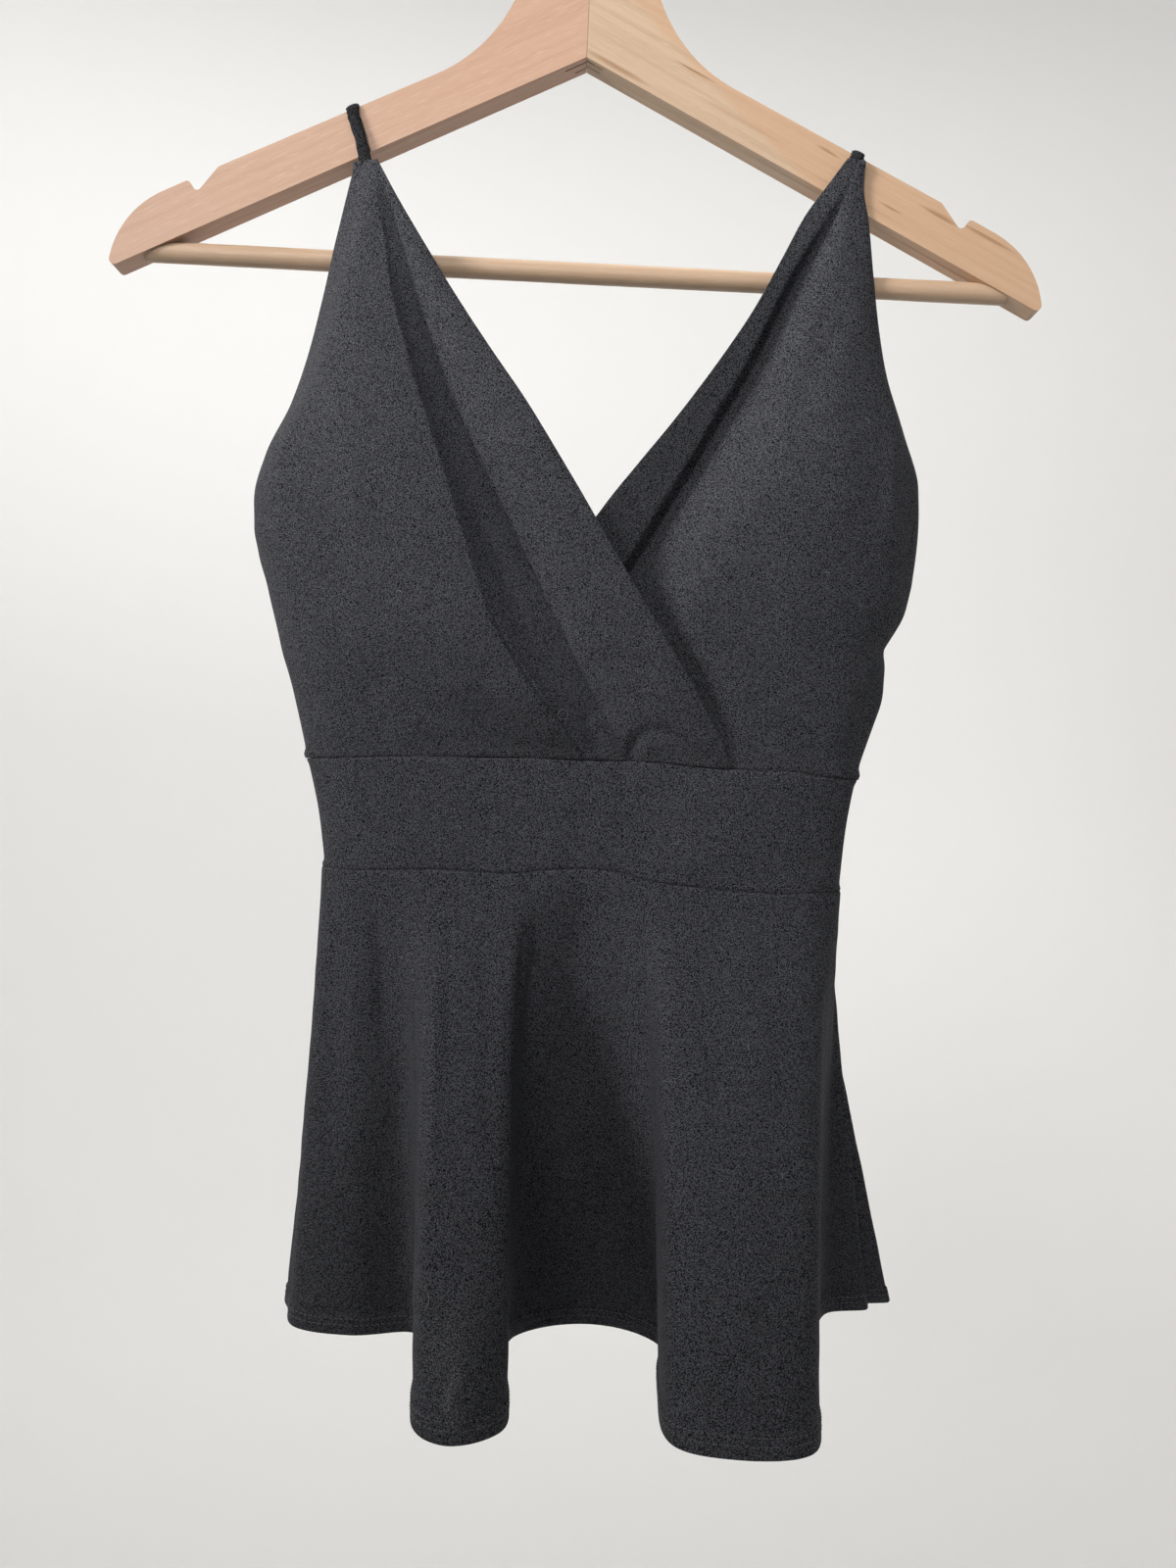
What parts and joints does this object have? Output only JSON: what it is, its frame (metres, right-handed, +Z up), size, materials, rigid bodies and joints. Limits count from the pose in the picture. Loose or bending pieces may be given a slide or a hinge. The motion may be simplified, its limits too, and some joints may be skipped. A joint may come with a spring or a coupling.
{
  "type": "blouse on hanger",
  "caption": "Sleeveless wrap-front peplum blouse with thin straps and a waistband, hanging on a wooden clothes hanger with a trouser rod and wire hook.",
  "frame": {"origin": "inner crown of the hanger's hook, where it hangs on a rail or peg", "axes": "+Z up; the blouse's front faces -Y; the wearer's right is -X"},
  "size_m": [0.4454, 0.1646, 0.7403],
  "materials": {
    "crepe": "matt black crepe knit",
    "wood_rosy": "satin, rosy natural wood",
    "wood_pale": "satin, pale natural wood",
    "wood_rod": "satin, pale natural wood",
    "steel": "bright plated wire"
  },
  "bodies": {
    "root": {"front_right": "crepe", "front_left": "crepe", "back": "crepe", "waistband_front": "crepe", "waistband_back": "crepe", "peplum_front": "crepe", "peplum_back": "crepe", "strap_right": "crepe", "strap_left": "crepe", "hanger_arm_right": "wood_rosy", "hanger_arm_left": "wood_pale", "hanger_rod": "wood_rod", "hanger_hook": "steel"}
  },
  "joints": []
}
